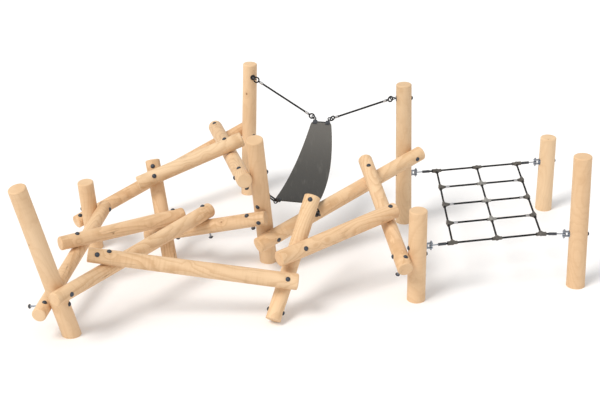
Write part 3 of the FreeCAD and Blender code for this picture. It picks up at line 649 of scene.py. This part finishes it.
def looped_rope(node, body):
    """A rope with a spliced loop at each end, each in its own plane."""
    part = islands(node)[0]
    low, high, radius = round_axis(part)
    axis = (high - low).normalized()
    ends = []
    for number, (tip, inward) in enumerate(((low, axis), (high, -axis)), 1):
        reach = (part["co"] - np.array(tip)) @ np.array(inward)
        cloud = part["co"][reach < LOOP_REACH]
        normal = flat_normal(cloud)
        side = normal.cross(axis).normalized()
        width = np.ptp(cloud @ np.array(side))
        wire = np.ptp(cloud @ np.array(normal)) / 2
        middle = tip + inward * (width / 2)
        ring = width / 2 - wire
        path = []
        for i in range(LOOP_STEPS):
            turn = 2 * math.pi * i / LOOP_STEPS
            path.append(middle + inward * (ring * math.cos(turn)) + side * (ring * math.sin(turn)))
        pitch = 2 * math.pi * ring / LOOP_LAYS
        loop = swept_rope(f"{node}_loop_{number}", path, wire, closed=True, pitch=pitch)
        settle_rope(loop, body, node)
        ends.append(middle + inward * ring)
    piece = swept_rope(node + "_laid", straight_path(*ends), radius)
    settle_rope(piece, body, node)


for node in ("net_rope_left", "net_rope_centre", "net_rope_right", "net_cross_ropes"):
    straight_ropes(node, "net")
for corner in ("back_left", "back_right", "front_left", "front_right"):
    straight_ropes("tether_rope_" + corner, "tether_" + corner)
for node in ("belt_rope_left", "belt_rope_right"):
    looped_rope(node, node)

# ---------------------------------------------------------------- belt's hem


def capsule(name, start, end, radius):
    """A bar with rounded ends."""
    axis = (end - start).normalized()
    side = axis.orthogonal().normalized()
    other = axis.cross(side)
    quarter = [math.pi / 2 * i / HEM_CAP_ROWS for i in range(HEM_CAP_ROWS + 1)]
    rows = [(start - axis * (radius * math.cos(turn)), radius * math.sin(turn)) for turn in quarter]
    rows += [(end + axis * (radius * math.sin(turn)), radius * math.cos(turn)) for turn in quarter]
    verts = []
    for centre, reach in rows:
        for j in range(HEM_SIDES):
            turn = 2 * math.pi * j / HEM_SIDES
            out = side * math.cos(turn) + other * math.sin(turn)
            verts.append(centre + out * max(reach, TIP_RADIUS))
    faces = []
    for i in range(len(rows) - 1):
        for j in range(HEM_SIDES):
            a = i * HEM_SIDES + j
            b = i * HEM_SIDES + (j + 1) % HEM_SIDES
            faces.append((a, b, b + HEM_SIDES, a + HEM_SIDES))
    faces.append(tuple(reversed(range(HEM_SIDES))))
    faces.append(tuple(range(len(verts) - HEM_SIDES, len(verts))))
    return new_object(name, verts, faces)


# A stiff bar is sewn in the belt's top hem, between its two upper clamps.
low_one, low_two, first, second = middles("belt_clamps")
hem_way = (second - first).normalized()
down = (low_one + low_two) / 2 - (first + second) / 2
down = (down - hem_way * down.dot(hem_way)).normalized()
lift = -HEM_LIFT * down
near, far = sorted(middles("belt_rivets")[2:], key=lambda v: (v - first).length)
hem_start = near + hem_way * HEM_INSET + lift
hem_end = far - hem_way * HEM_INSET + lift
hem = capsule("belt_hem_bar", hem_start, hem_end, HEM_RADIUS)
paint(hem, plastic_material("hem_rubber", (0.012, 0.012, 0.012), roughness=0.55))
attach(hem, "belt")

# ------------------------------------------------------------------- camera
camera_data = bpy.data.cameras.new("camera")
camera_data.lens = LENS
camera_data.sensor_width = SENSOR_WIDTH
camera = bpy.data.objects.new("camera", camera_data)
camera.location = CAMERA_PLACE
camera.rotation_euler = (math.radians(CAMERA_TILT), 0.0, 0.0)
scene.collection.objects.link(camera)
scene.camera = camera

# ---------------------------------------------------------- floor and light
corners = [(x * FLOOR_REACH, y * FLOOR_REACH, 0) for x, y in ((-1, -1), (1, -1), (1, 1), (-1, 1))]
floor = new_object("floor", corners, [(0, 1, 2, 3)], smooth=False)
floor_material, _, shader = material("pale_floor")
shader.inputs["Base Color"].default_value = (0.93, 0.93, 0.935, 1)
shader.inputs["Roughness"].default_value = 0.9
shader.inputs["Specular IOR Level"].default_value = 0.0
paint(floor, floor_material)

world = bpy.data.worlds.new("studio")
scene.world = world
world.use_nodes = True
background = world.node_tree.nodes["Background"]
background.inputs["Color"].default_value = (1.0, 1.0, 1.0, 1)
background.inputs["Strength"].default_value = SKY_STRENGTH

sun_data = bpy.data.lights.new("key", "SUN")
sun_data.energy = SUN_STRENGTH
sun_data.angle = math.radians(SUN_SPREAD)
sun_data.color = SUN_COLOUR
sun = bpy.data.objects.new("key", sun_data)
sun.rotation_euler = Vector(SUN_FROM).to_track_quat("Z", "Y").to_euler()
scene.collection.objects.link(sun)
scene.view_settings.view_transform = "Standard"
